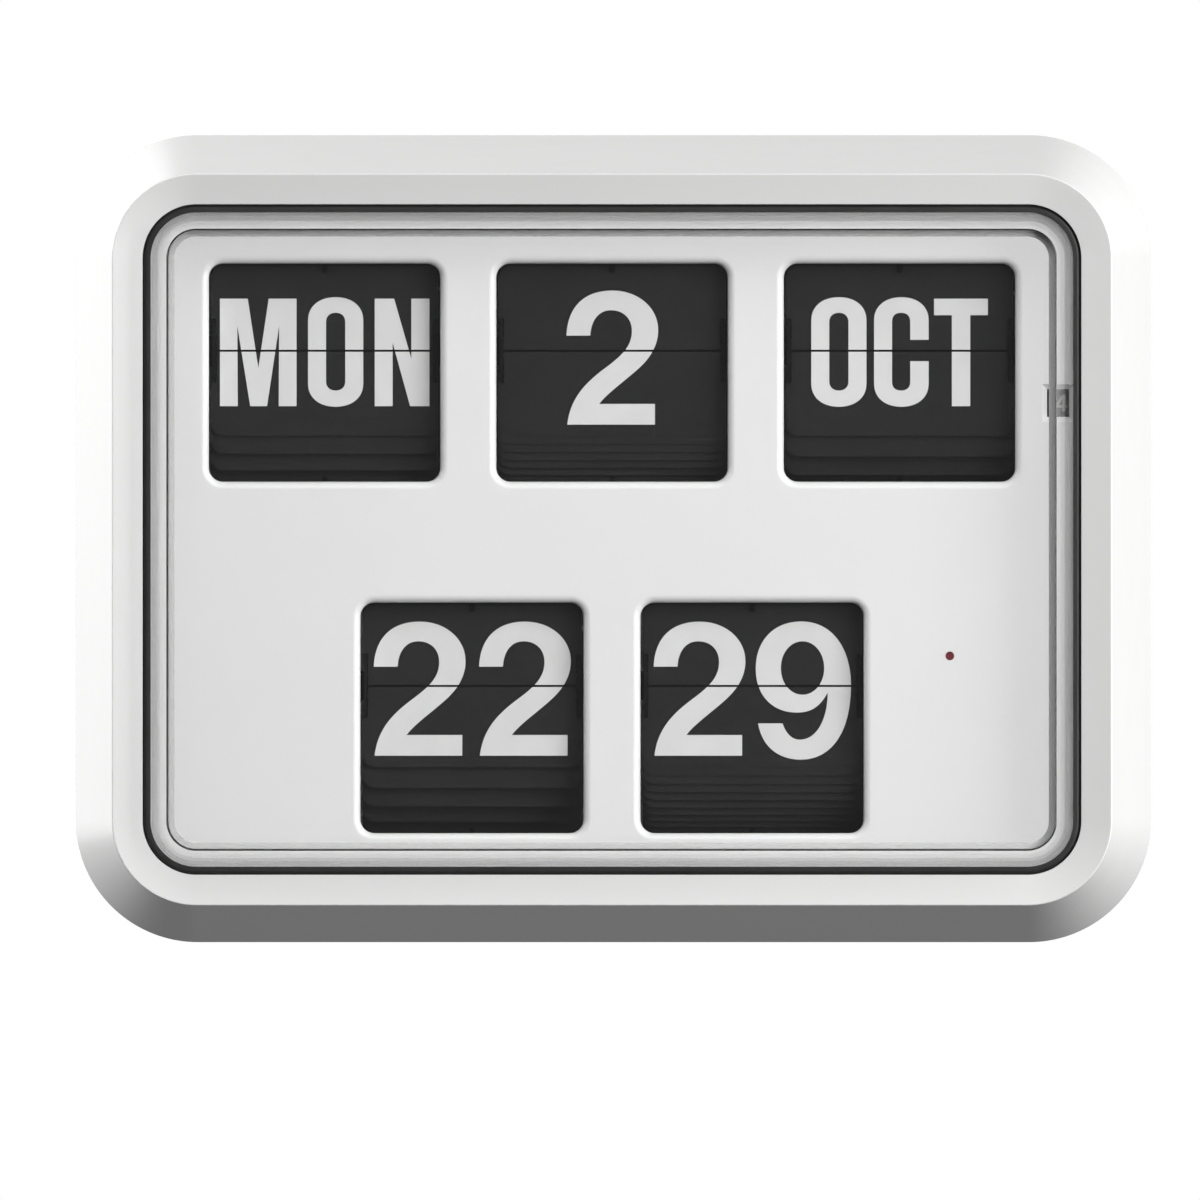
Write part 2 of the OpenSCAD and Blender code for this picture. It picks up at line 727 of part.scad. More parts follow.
// Motor shaft with the pinion that turns the minute gear
module drive_pinion() {
    x = right_edge(MINUTE) + gear_at;
    color("goldenrod") translate([0, time_y + pinion_off, axis_z]) {
        side_plate(x, gear_t) gear_shape(pinion_teeth, 90);
        bar(x, movement_x + movement_wall + motor_l / 2, 0, 0, arbor_r);
    }
}

// Turning disc behind the indicator hole, on its arbor from the movement
module run_disc() {
    top = plate_back - side_gap;
    color("#8b3e4a") {
        post(indicator_x, run_disc_y, top - run_disc_t, top, run_disc_r);
        post(indicator_x, run_disc_y, movement_z1 - 2 * movement_wall, top - run_disc_t + bite / 2,
            run_arbor_r);
    }
}

module leap_wheel() {
    color("#202020") difference() {
        bar(leap_x - leap_w / 2, leap_x + leap_w / 2, leap_y, leap_z, leap_r);
        bar(leap_x - leap_w, leap_x + leap_w, leap_y, leap_z, arbor_r + run_gap);
    }
}

module leap_arbor() {
    x = leap_x + leap_w / 2 + side_gap;
    color("silver") {
        bar(plate_x(brackets[3]), x + arbor_head_t, leap_y, leap_z, arbor_r);
        bar(x, x + arbor_head_t, leap_y, leap_z, arbor_r + arbor_collar);
        bar(plate_x(brackets[3]) + bracket_t, leap_x - leap_w / 2 - side_gap, leap_y, leap_z,
            arbor_r + arbor_collar);
    }
}

// Hanging hole: a round entry with a narrow slot above it
module keyhole() {
    circle(hanger_entry_d / 2);
    translate([0, hanger_entry_d]) circle(hanger_slot_w / 2);
    translate([-hanger_slot_w / 2, 0]) square([hanger_slot_w, hanger_entry_d]);
}

// Rear cover with the battery box that stands in from it
module rear_cover() {
    inner_w = box_w - 2 * box_wall;
    inner_h = box_h - 2 * box_wall;
    color("gainsboro") difference() {
        union() {
            slab(0, rear_t) rounded(corner_x, corner_y, rear_r);
            translate([box_x, box_y]) slab(rear_t - bite, box_back) square([box_w, box_h], center = true);
        }
        translate([box_x, box_y]) {
            slab(-bite, box_back - box_wall) square([inner_w, inner_h], center = true);
            slab(-bite, door_lift + door_t)
                square([inner_w + 2 * door_ledge, inner_h + 2 * door_ledge], center = true);
        }
        for (s = [-1, 1]) translate([s * hanger_span / 2, hanger_rise]) slab(-bite, rear_t + bite) keyhole();
        for (d = [WEEKDAY, DATE, MONTH, MINUTE])
            translate([right_edge(d) + gear_at + gear_t / 2, axis_y(d)]) slab(-bite, rear_t + bite)
                square([wheel_slot_w, wheel_slot_h], center = true);
        for (p = rear_screw_points) {
            post(p.x, p.y, -bite, rear_t + bite, screw_r + side_gap);
            post(p.x, p.y, -bite, head_t + run_gap, head_r + side_gap);
        }
    }
}

module battery_door() {
    w = box_w - 2 * box_wall + 2 * (door_ledge - door_gap);
    h = box_h - 2 * box_wall + 2 * (door_ledge - door_gap);
    color("gainsboro") translate([box_x, box_y]) slab(door_lift, door_lift + door_t)
        square([w, h], center = true);
}

module battery_cell() {
    x0 = box_x - cell_l / 2;
    x1 = x0 + cell_l - cell_tip_l;
    color("steelblue") {
        bar(x0, x1, box_y, cell_z, cell_d / 2);
        bar(x1 - bite, x0 + cell_l, box_y, cell_z, cell_tip_r);
    }
}

// Flat spring contacts on the end walls of the battery box
module battery_contacts() {
    half = box_w / 2 - box_wall;
    color("silver") for (s = [-1, 1]) {
        wall_x = box_x + s * half;
        block([min(wall_x, wall_x - s * contact_t), box_y - contact_half_h, cell_z - contact_half_z],
            [max(wall_x, wall_x - s * contact_t), box_y + contact_half_h, cell_z + contact_half_z]);
        side_plate(min(wall_x - s * contact_t, box_x + s * (cell_l / 2 + run_gap)),
            abs(half - contact_t - cell_l / 2 - run_gap))
                translate([-cell_z, box_y]) square(contact_pad, center = true);
    }
}

module rear_cover_screws() {
    color("silver") for (p = rear_screw_points) screw(p.x, p.y, 0, 2 * thread_l);
}

module plate_screws() {
    color("silver") for (p = plate_screw_points)
        screw(p.x, p.y, plate_back - head_t, plate_t + thread_l);
}

module bracket_screws() {
    color("silver") for (p = bracket_screw_points)
        screw(p.x, p.y, pad_front - bracket_t - head_t, bracket_t + thread_l);
}

module movement_screws() {
    x = movement_x - bracket_t;
    color("silver") for (p = movement_screw_points) {
        bar(x - head_t / 2, x, p.x, p.y, head_r);
        bar(x - bite, movement_x + movement_wall, p.x, p.y, screw_r);
    }
}

placed() front_case();
placed() rear_cover();
placed() crystal();
placed() crystal_gasket();
placed() window_plate();
placed() battery_door();
placed() battery_cell();
placed() battery_contacts();
placed() movement_case();
placed() drive_motor();
placed() circuit_board();
placed() drive_pinion();
placed() run_disc();
placed() leap_wheel();
placed() leap_arbor();
placed() upper_axle();
placed() lower_axle();
placed() axle_clips();
placed() upper_brackets();
placed() lower_brackets();
placed() setting_arbors();
placed() setting_wheel(WEEKDAY);  // weekday_setting_wheel
placed() setting_wheel(DATE);  // date_setting_wheel
placed() setting_wheel(MONTH);  // month_setting_wheel
placed() setting_wheel(MINUTE);  // time_setting_wheel
placed() carry_pinion();
placed() carry_cam();
placed() top_fingers();
placed() lower_fingers();
placed() drum(WEEKDAY);  // weekday_drum
placed() drum_gear(WEEKDAY);  // weekday_gear
placed() leaf_pack(WEEKDAY);  // weekday_leaves
placed() falling_leaf(WEEKDAY);  // weekday_falling_leaf
placed() drum(DATE);  // date_drum
placed() drum_gear(DATE);  // date_gear
placed() leaf_pack(DATE);  // date_leaves
placed() falling_leaf(DATE);  // date_falling_leaf
placed() drum(MONTH);  // month_drum
placed() drum_gear(MONTH);  // month_gear
placed() leaf_pack(MONTH);  // month_leaves
placed() falling_leaf(MONTH);  // month_falling_leaf
placed() drum(HOUR);  // hour_drum
placed() drum_gear(HOUR);  // hour_gear
placed() leaf_pack(HOUR);  // hour_leaves
placed() falling_leaf(HOUR);  // hour_falling_leaf
placed() drum(MINUTE);  // minute_drum
placed() drum_gear(MINUTE);  // minute_gear
placed() leaf_pack(MINUTE);  // minute_leaves
placed() falling_leaf(MINUTE);  // minute_falling_leaf
placed() rear_cover_screws();
placed() plate_screws();
placed() bracket_screws();
placed() movement_screws();
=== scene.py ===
import json
import math

import bmesh
import bpy
from mathutils import Matrix, Vector
from mathutils.geometry import tessellate_polygon


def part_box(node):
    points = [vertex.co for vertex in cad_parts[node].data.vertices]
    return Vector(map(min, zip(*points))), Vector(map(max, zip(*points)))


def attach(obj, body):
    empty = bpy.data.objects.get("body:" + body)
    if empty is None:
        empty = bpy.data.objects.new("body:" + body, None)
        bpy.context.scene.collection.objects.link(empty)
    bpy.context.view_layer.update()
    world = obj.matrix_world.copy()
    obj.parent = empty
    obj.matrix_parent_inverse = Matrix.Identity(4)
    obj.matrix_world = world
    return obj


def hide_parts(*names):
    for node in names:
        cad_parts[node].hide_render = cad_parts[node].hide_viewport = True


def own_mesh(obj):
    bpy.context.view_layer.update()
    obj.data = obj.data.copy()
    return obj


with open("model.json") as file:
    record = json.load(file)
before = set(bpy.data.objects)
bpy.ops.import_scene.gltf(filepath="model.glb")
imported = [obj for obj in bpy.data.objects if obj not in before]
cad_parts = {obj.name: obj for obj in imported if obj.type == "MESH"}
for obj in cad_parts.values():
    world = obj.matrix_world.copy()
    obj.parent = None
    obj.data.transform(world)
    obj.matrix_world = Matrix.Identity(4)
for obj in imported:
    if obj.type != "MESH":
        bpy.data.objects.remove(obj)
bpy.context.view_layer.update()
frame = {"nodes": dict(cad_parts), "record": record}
nodes = frame["nodes"]
scene = bpy.context.scene
MM = 0.001

# Sizes of the clock in mm, as in the CAD source: X right, Y up from the case's middle, Z out from the wall
HANGER_RISE = 112
CORNER_X, CORNER_Y = 141, 95.5
AXIS_Z = 44.4426
HINGE_R = 28
LEAF_T = 0.15
SPLIT_GAP = 0.35
PLATE_FRONT = 79.9426
FLANGE_FRONT, LIP_FRONT, CASE_FRONT = 82.4426, 84.9426, 87.9426
PANE_BACK, PANE_FRONT = 102.3226, 104.8226
BACK_R, FRONT_R, LIP_R, FLANGE_R = 41.5, 28.6, 18.2, 21
PANE_R, PANE_IN_R, COVER_LEAN = 9.927, 7.327, 5.9
WALL_T, REAR_T = 3, 2.5
CAL_Y, TIME_Y = 64, -49.7
CAL_WINDOW_W, TIME_WINDOW_W = 78.5, 75.7
DISPLAYS = {  # middle of the window at the split line, and leaves on the drum
    "weekday": (-97.5, CAL_Y, 28),
    "date": (0, CAL_Y, 62),
    "month": (97.5, CAL_Y, 24),
    "hour": (-47.5, TIME_Y, 24),
    "minute": (47.5, TIME_Y, 60),
}
LEAP_X, LEAP_Y, LEAP_Z, LEAP_R = 150.15, 46.3, 68.4426, 8


def spot(x, y, z):
    """Point of the row frame, in metres, from mm on the dial and mm out from the wall."""
    return Vector((x * MM, -z * MM, (y - HANGER_RISE) * MM))


def box_mm(node):
    """A node's lowest and highest corners, in mm on the dial and out from the wall."""
    low, high = (Vector(c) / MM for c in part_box(node))
    return (low.x, low.z + HANGER_RISE, -high.y), (high.x, high.z + HANGER_RISE, -low.y)


# Materials
NOISE_LOW, NOISE_HIGH = 0.3, 0.7
EVEN = (1, 1, 1)
GLOSS_FINER = 4
GRAIN_DETAIL = 4
ACRYLIC_IOR = 1.49
CLEAR_TINT = (0.985, 0.99, 0.99)
CLEAR_BLOTCH, CLEAR_ROUGH = 60, (0.01, 0.02)


def add_node(tree, kind, inputs=()):
    """New shader node, with each input linked from a socket or set to a value."""
    made = tree.nodes.new("ShaderNode" + kind)
    for key, value in dict(inputs).items():
        if isinstance(value, bpy.types.NodeSocket):
            tree.links.new(value, made.inputs[key])
        else:
            made.inputs[key].default_value = value
    return made


def noise(tree, place, scale, detail=3, stretch=EVEN):
    """Noise in object space; scale is in features a metre."""
    mapping = add_node(tree, "Mapping", {"Vector": place, "Scale": stretch})
    made = add_node(tree, "TexNoise", {"Vector": mapping.outputs["Vector"], "Scale": scale, "Detail": detail})
    return made.outputs["Fac"]


def spread(tree, value, low, high, start=NOISE_LOW, end=NOISE_HIGH):
    """Maps the stretch from start to end onto low to high, and holds the value there."""
    made = add_node(tree, "MapRange", {
        "Value": value, "From Min": start, "From Max": end, "To Min": low, "To Max": high})
    return made.outputs["Result"]


def ramp(tree, value, stops):
    """Colour ramp through stops of position and colour."""
    made = add_node(tree, "ValToRGB", {"Fac": value})
    elements = made.color_ramp.elements
    while len(elements) < len(stops):
        elements.new(1)
    for element, (position, colour) in zip(elements, stops):
        element.position = position
        element.color = (*colour, 1)
    return made.outputs["Color"]


def mix(tree, share, first, second):
    return add_node(tree, "MixShader", {"Fac": share, 1: first, 2: second}).outputs["Shader"]


def maths(tree, operation, a, b):
    made = add_node(tree, "Math", {0: a, 1: b})
    made.operation = operation
    return made.outputs["Value"]


def base_material(name):
    """Material with its node tree, shader and object coordinates."""
    material = bpy.data.materials.new(name)
    material.use_nodes = True
    tree = material.node_tree
    return material, tree, tree.nodes["Principled BSDF"], add_node(tree, "TexCoord").outputs["Object"]


def surface_of(tree, shader):
    tree.links.new(shader, tree.nodes["Material Output"].inputs["Surface"])


def finish_of(name, colour, vary, rough, blotch, grain, height, stretch=EVEN, metal=0, specular=0.5):
    """A surface with soft blotches of colour, uneven gloss and a fine grain."""
    material, tree, shader, place = base_material(name)
    low = tuple(max(0, c * (1 - vary)) for c in colour)
    high = tuple(min(1, c * (1 + vary)) for c in colour)
    tone = ramp(tree, noise(tree, place, blotch), [(NOISE_LOW, low), (NOISE_HIGH, high)])
    gloss = spread(tree, noise(tree, place, blotch * GLOSS_FINER, stretch=stretch), *rough)
    bump = add_node(tree, "Bump", {
        "Strength": 1, "Distance": height, "Height": noise(tree, place, grain, GRAIN_DETAIL, stretch)})
    tree.links.new(tone, shader.inputs["Base Color"])
    tree.links.new(gloss, shader.inputs["Roughness"])
    tree.links.new(bump.outputs["Normal"], shader.inputs["Normal"])
    shader.inputs["Metallic"].default_value = metal
    shader.inputs["Specular IOR Level"].default_value = specular
    return material


def clear_material(name, lets_through, tint):
    """Clear acrylic that lets this share of the room's light through each face to what is behind it."""
    material, tree, shader, place = base_material(name)
    shader.inputs["Base Color"].default_value = (*tint, 1)
    shader.inputs["Transmission Weight"].default_value = 1
    shader.inputs["IOR"].default_value = ACRYLIC_IOR
    tree.links.new(spread(tree, noise(tree, place, CLEAR_BLOTCH), *CLEAR_ROUGH), shader.inputs["Roughness"])
    through = add_node(tree, "BsdfTransparent", {"Color": (lets_through, lets_through, lets_through, 1)})
    ray = add_node(tree, "LightPath").outputs
    look = shader.outputs["BSDF"]
    for kind in ("Is Shadow Ray", "Is Diffuse Ray"):
        look = mix(tree, ray[kind], look, through.outputs["BSDF"])
    surface_of(tree, look)
    return material


# Colour and its spread, gloss range, blotches and grain a metre, depth of the grain; some also have the
# grain's stretch, metal and specular level
FINISHES = {
    "case_white": ((0.74, 0.74, 0.735), 0.01, (0.228, 0.242), 14, 420, 6e-7),
    "back_white": ((0.78, 0.78, 0.765), 0.02, (0.42, 0.55), 18, 1400, 9e-6),
    "dial_white": ((0.86, 0.86, 0.855), 0.01, (0.3, 0.32), 16, 1700, 1.5e-6),
    "print_white": ((0.735, 0.735, 0.73), 0.025, (0.5, 0.62), 120, 2600, 3e-6),
    "gasket_black": ((0.019, 0.0185, 0.018), 0.15, (0.42, 0.58), 60, 1500, 8e-6),
    "leaf_black": ((0.0108, 0.0108, 0.0108), 0.05, (0.62, 0.74), 40, 2400, 4e-6, (0.25, 1, 1), 0, 0.15),
    "drum_grey": ((0.006, 0.006, 0.0065), 0.12, (0.7, 0.82), 80, 1500, 6e-6, EVEN, 0, 0.06),
    "gear_white": ((0.76, 0.75, 0.70), 0.03, (0.38, 0.5), 70, 1300, 6e-6),
    "movement_grey": ((0.46, 0.46, 0.44), 0.04, (0.45, 0.6), 60, 1300, 8e-6),
    "board_green": ((0.02, 0.15, 0.06), 0.2, (0.3, 0.45), 220, 900, 1e-5),
    "signal_red": ((0.42, 0.055, 0.085), 0.08, (0.45, 0.6), 200, 1500, 5e-6),
    "leap_print": ((0.36, 0.36, 0.355), 0.04, (0.5, 0.62), 150, 2600, 3e-6),
    "mark_grey": ((0.30, 0.30, 0.295), 0.05, (0.5, 0.62), 120, 2000, 3e-6),
    "cell_jacket": ((0.08, 0.13, 0.26), 0.1, (0.28, 0.4), 60, 700, 4e-6),
    "bracket_steel": ((0.55, 0.56, 0.58), 0.06, (0.3, 0.46), 90, 1200, 6e-6, (1, 12, 1), 1),
    "bright_steel": ((0.62, 0.62, 0.62), 0.05, (0.2, 0.34), 120, 1400, 4e-6, (1, 1, 8), 1),
    "spring_steel": ((0.70, 0.68, 0.62), 0.05, (0.24, 0.38), 120, 1400, 4e-6, (8, 1, 1), 1),
    "spring_dark": ((0.002, 0.002, 0.002), 0.15, (0.7, 0.82), 200, 1600, 5e-6, EVEN, 0, 0.03),
    "brass": ((0.72, 0.53, 0.23), 0.06, (0.24, 0.4), 120, 1300, 4e-6, (1, 1, 6), 1),
}
finishes = {name: finish_of(name, *row) for name, row in FINISHES.items()}
CLEARS = {  # share of the light let through, and tint
    "clear_cover": (0.99, CLEAR_TINT),
    "clear_cover_wall": (0.84, CLEAR_TINT),
    # The pane's front edge is tinted near black: painted shade that draws a dark line along the edge
    "clear_cover_painted_edge_shade": (0.84, (0.04, 0.04, 0.04)),
}
finishes.update({name: clear_material(name, *row) for name, row in CLEARS.items()})
for sub in frame["record"]["subparts"]:
    mesh = nodes[sub["node"]].data
    mesh.materials.clear()
    mesh.materials.append(finishes[sub["material_slot"]])


# Mesh helpers
QUADRANTS = ((1, 1), (-1, 1), (-1, -1), (1, -1))
SHARP_ANGLE = math.radians(35)
FLAT_WEIGHT = 100
ARC_STEPS = 6


def link(name, data):
    obj = bpy.data.objects.new(name, data)
    scene.collection.objects.link(obj)
    return obj


def add_piece(name, bm, slot, body, material=None, replaces=()):
    bmesh.ops.recalc_face_normals(bm, faces=bm.faces)
    mesh = bpy.data.meshes.new(name)
    bm.to_mesh(mesh)
    bm.free()
    mesh.shade_smooth()
    mesh.set_sharp_from_angle(angle=SHARP_ANGLE)
    mesh.materials.append(finishes[material or slot])
    obj = link(name, mesh)
    flat_runs = obj.modifiers.new("flat_runs", "WEIGHTED_NORMAL")
    flat_runs.keep_sharp = True
    flat_runs.weight = FLAT_WEIGHT
    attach(obj, body)
    if replaces:
        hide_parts(*replaces)
    return obj


def loop_of(bm, points, z):
    return [bm.verts.new(spot(x, y, z)) for x, y in points]


def join(bm, a, b):
    """Wall between two loops of as many vertices."""
    for i in range(len(a)):
        j = (i + 1) % len(a)
        bm.faces.new((a[i], a[j], b[j], b[i]))


def fill(bm, *loops):
    """Flat face inside the first loop and outside the others."""
    verts = [v for loop in loops for v in loop]
    for tri in tessellate_polygon([[Vector((v.co.x, v.co.z, 0)) for v in loop] for loop in loops]):
        bm.faces.new([verts[i] for i in tri])


def circle(x, y, r, steps=32):
    turns = [2 * math.pi * i / steps for i in range(steps)]
    return [(x + r * math.cos(a), y + r * math.sin(a)) for a in turns]


def rounded_box(x, y, half_x, half_y, r, arc=8):
    """Outline of a rounded rectangle with these corner centres."""
    return [(x + sx * half_x + r * math.cos(a), y + sy * half_y + r * math.sin(a))
            for q, (sx, sy) in enumerate(QUADRANTS)
            for a in (math.radians(90 * (q + i / arc)) for i in range(arc + 1))]


def soften(corners):
    """Closed outline of corners, each two measures and a rounding, with each rounding turned into an arc."""
    points = [Vector(c[:2]) for c in corners]
    out = []
    for i, p in enumerate(points):
        r = corners[i][2]
        if r == 0:
            out.append(tuple(p))
            continue
        to_last = (points[i - 1] - p).normalized()
        to_next = (points[(i + 1) % len(points)] - p).normalized()
        half = to_last.angle(to_next) / 2
        run = r / math.tan(half)
        middle = p + (to_last + to_next).normalized() * (r / math.sin(half))
        a, b = p + to_last * run - middle, p + to_next * run - middle
        turn = a.angle_signed(b)
        out += [tuple(middle + Matrix.Rotation(-turn * k / ARC_STEPS, 2) @ a) for k in range(ARC_STEPS + 1)]
    return out


def sweep(bm, profile, half_x, half_y, centre=(0, 0), closed=True, arc=32):
    """Sweeps a profile of corner radius and depth round a rounded rectangle with these corner centres."""
    rows = []
    for q, (sx, sy) in enumerate(QUADRANTS):
        x, y = centre[0] + sx * half_x, centre[1] + sy * half_y
        for i in range(arc + 1):
            a = math.radians(90 * (q + i / arc))
            rows.append([bm.verts.new(spot(x + r * math.cos(a), y + r * math.sin(a), z)) for r, z in profile])
    last = len(profile) if closed else len(profile) - 1
    for row, after in zip(rows, rows[1:] + rows[:1]):
        for k in range(last):
            m = (k + 1) % len(profile)
            bm.faces.new((row[k], after[k], after[m], row[m]))
    return rows


def tube(bm, x, y, z0, z1, r_out, r_in):
    rings = [loop_of(bm, circle(x, y, r), z) for r, z in ((r_in, z0), (r_out, z0), (r_out, z1), (r_in, z1))]
    for a, b in zip(rings, rings[1:] + rings[:1]):
        join(bm, a, b)


# Case with its screw bosses
FLANGE_SLACK = 0.3
CASE_ARC = 40
BOSS_AT, BOSS_R, BOSS_L, BORE_R = 31, 5, 32, 1.27
seat_r = FLANGE_R + FLANGE_SLACK
plate_wall_r = BACK_R - (BACK_R - FRONT_R) * PLATE_FRONT / CASE_FRONT
bm = bmesh.new()
profile = soften([  # corner radius, depth, rounding
    (BACK_R, 0, 0.8),
    (FRONT_R, CASE_FRONT, 0.4),
    (LIP_R, LIP_FRONT, 0.25),
    (LIP_R, FLANGE_FRONT, 0),
    (seat_r, FLANGE_FRONT, 0),
    (seat_r, PLATE_FRONT, 0),
    (plate_wall_r - WALL_T, PLATE_FRONT, 0),
    (BACK_R - WALL_T, 0, 0.4),
])
sweep(bm, profile, CORNER_X, CORNER_Y, arc=CASE_ARC)
diagonal = BOSS_AT / math.sqrt(2)
bosses = [(sx * (CORNER_X + diagonal), sy * (CORNER_Y + diagonal)) for sx in (-1, 1) for sy in (-1, 1)]
bosses += [(0, sy * (CORNER_Y + BOSS_AT)) for sy in (-1, 1)]
for x, y in bosses:
    tube(bm, x, y, REAR_T, REAR_T + BOSS_L, BOSS_R, BORE_R)
add_piece("case_shell", bm, "case_white", "case", replaces=["front_case"])

# Clear cover, with a dark line painted along the pane's front edge as painted shade, and black painted under
# its flange as painted shade for the shaded margin seen down its walls
# The flange's underside is painted black from its rim in to this radius: painted shade for the margin that
# the case's lip shades, seen down the cover's walls
PAINTED_FLANGE_SHADE_R = 15.5
slope = COVER_LEAN / (PANE_FRONT - FLANGE_FRONT)
foot_r = PANE_R + COVER_LEAN
foot_in_r = PANE_IN_R + slope * (PANE_BACK - PLATE_FRONT)
# The third finish paints a near-black line along the pane's front edge and the fourth paints the flange's
# underside black, both painted shade
CLEAR, WALL, PAINTED_EDGE_SHADE, PAINTED_FLANGE_SHADE = range(4)
cover_outline = [  # corner radius, depth, rounding, finish of the arc, finish of the run that follows
    (0, PANE_FRONT, 0, CLEAR, CLEAR),
    (PANE_R, PANE_FRONT, 0.5, PAINTED_EDGE_SHADE, WALL),
    (foot_r, FLANGE_FRONT, 0.6, WALL, CLEAR),
    (FLANGE_R, FLANGE_FRONT, 0.2, WALL, WALL),
    (FLANGE_R, PLATE_FRONT, 0.2, WALL, PAINTED_FLANGE_SHADE),
    (PAINTED_FLANGE_SHADE_R, PLATE_FRONT, 0, CLEAR, CLEAR),
    (foot_in_r, PLATE_FRONT, 0.2, WALL, WALL),
    (PANE_IN_R, PANE_BACK, 0, CLEAR, CLEAR),
    (0, PANE_BACK, 0, CLEAR, CLEAR),
]
bm = bmesh.new()
rows = sweep(bm, soften(cover_outline), CORNER_X, CORNER_Y, closed=False)
kinds = []
for _, _, rounding, arc_finish, run_finish in cover_outline:
    kinds += [arc_finish] * (ARC_STEPS if rounding else 0) + [run_finish]
kinds.pop()
for i, face in enumerate(bm.faces):
    face.material_index = kinds[i % len(kinds)]
bm.faces.new([row[0] for row in rows])
bm.faces.new([row[-1] for row in rows])
cover = add_piece("clear_cover", bm, "clear_cover", "case", replaces=["crystal"])
# The gasket's black goes on the flange's underside as painted shade
for finish in ("clear_cover_wall", "clear_cover_painted_edge_shade", "gasket_black"):
    cover.data.materials.append(finishes[finish])

# Gasket, with a groove along the case's lip
GASKET_H, GASKET_SEAT, GROOVE_W, GROOVE_FLOOR = 2, 0.05, 0.55, 0.4
gasket_top = FLANGE_FRONT + GASKET_H
groove_z = FLANGE_FRONT + GROOVE_FLOOR
bm = bmesh.new()
profile = soften([  # corner radius, depth, rounding
    (foot_r + GASKET_SEAT, FLANGE_FRONT, 0),
    (LIP_R - GASKET_SEAT, FLANGE_FRONT, 0),
    (LIP_R - GASKET_SEAT, groove_z, 0),
    (LIP_R - GROOVE_W, groove_z, 0),
    (LIP_R - GROOVE_W, gasket_top, 0.9),
    (foot_r - slope * GASKET_H + GASKET_SEAT, gasket_top, 0.3),
])
sweep(bm, profile, CORNER_X, CORNER_Y)
add_piece("gasket_ring", bm, "gasket_black", "case", replaces=["crystal_gasket"])

# Rear screws
HEAD_R, HEAD_T, THREAD_R, THREAD_L = 2.6, 1.6, 1.25, 10
RIM, RIM_MID = 0.35, 0.3 * 0.35
CROSS_ARM, CROSS_HALF, CROSS_DEEP, CROSS_TAPER = 1.5, 0.42, 1.1, 0.75
SCREW_TURN = 0.7


def cross_screw(bm, x, y, turn):
    """Screw with its head's face on the wall side, with a rounded rim and a cross recess."""
    thread_end = HEAD_T + THREAD_L
    rings = [loop_of(bm, circle(x, y, r), z) for r, z in (
        (HEAD_R - RIM, 0), (HEAD_R - RIM_MID, RIM_MID), (HEAD_R, RIM), (HEAD_R, HEAD_T),
        (THREAD_R, HEAD_T), (THREAD_R, thread_end - THREAD_R), (THREAD_R / 2, thread_end))]
    for a, b in zip(rings, rings[1:]):
        join(bm, a, b)
    fill(bm, rings[-1])
    spin = Matrix.Rotation(turn, 2)
    arm = [(CROSS_HALF, CROSS_HALF), (CROSS_HALF, CROSS_ARM), (-CROSS_HALF, CROSS_ARM)]
    cross = [spin @ Matrix.Rotation(math.pi / 2 * q, 2) @ Vector(p) for q in range(4) for p in arm]
    mouth = loop_of(bm, [(x + p.x, y + p.y) for p in cross], 0)
    bottom = loop_of(bm, [(x + CROSS_TAPER * p.x, y + CROSS_TAPER * p.y) for p in cross], CROSS_DEEP)
    fill(bm, rings[0], mouth)
    join(bm, mouth, bottom)
    fill(bm, bottom)


bm = bmesh.new()
for k, (x, y) in enumerate(bosses):
    cross_screw(bm, x, y, SCREW_TURN * k)
add_piece("rear_screws", bm, "bright_steel", "case", replaces=["rear_cover_screws"])

# Battery lid with soft edges and a ribbed thumb recess
LID_R, LID_EDGE, LID_ARC = 1.2, 0.35, 6
SCOOP_R, SCOOP_IN, SCOOP_DEEP, SCOOP_SLOPE = 5, 11, 1, 1.3
SCOOP_HALF_X, SCOOP_HALF_Y = 0.1, 6.5
RIBS, RIB_STEP, RIB_H, RIB_ARC = 5, 3, 0.75, 3
RIB_FOOT = (3.2, 0.1, 0.6)  # half length, half width and rounding
RIB_CREST = (3.0, 0.05, 0.3)
(x0, y0, lid_back), (x1, y1, lid_front) = box_mm("battery_door")
lid_x, lid_y = (x0 + x1) / 2, (y0 + y1) / 2
scoop_x, scoop_floor = x1 - SCOOP_IN, lid_back + SCOOP_DEEP
bm = bmesh.new()
edge = soften([
    (0, lid_back, 0),
    (LID_R, lid_back, LID_EDGE),
    (LID_R, lid_front, LID_EDGE / 2),
    (0, lid_front, 0),
])
rows = sweep(bm, edge[1:-1], (x1 - x0) / 2 - LID_R, (y1 - y0) / 2 - LID_R, (lid_x, lid_y), False, LID_ARC)
mouth, bottom = (loop_of(bm, rounded_box(scoop_x, lid_y, SCOOP_HALF_X, SCOOP_HALF_Y, r), z)
                 for r, z in ((SCOOP_R, lid_back), (SCOOP_R - SCOOP_SLOPE, scoop_floor)))
fill(bm, [row[0] for row in rows], mouth)
join(bm, mouth, bottom)
fill(bm, bottom)
fill(bm, [row[-1] for row in rows])
for k in range(RIBS):
    y = lid_y + RIB_STEP * (k - RIBS // 2)
    foot, crest = (loop_of(bm, rounded_box(scoop_x, y, *size, RIB_ARC), z)
                   for size, z in ((RIB_FOOT, scoop_floor), (RIB_CREST, scoop_floor - RIB_H)))
    join(bm, foot, crest)
    fill(bm, crest)
add_piece("battery_lid", bm, "back_white", "battery_door", replaces=["battery_door"])

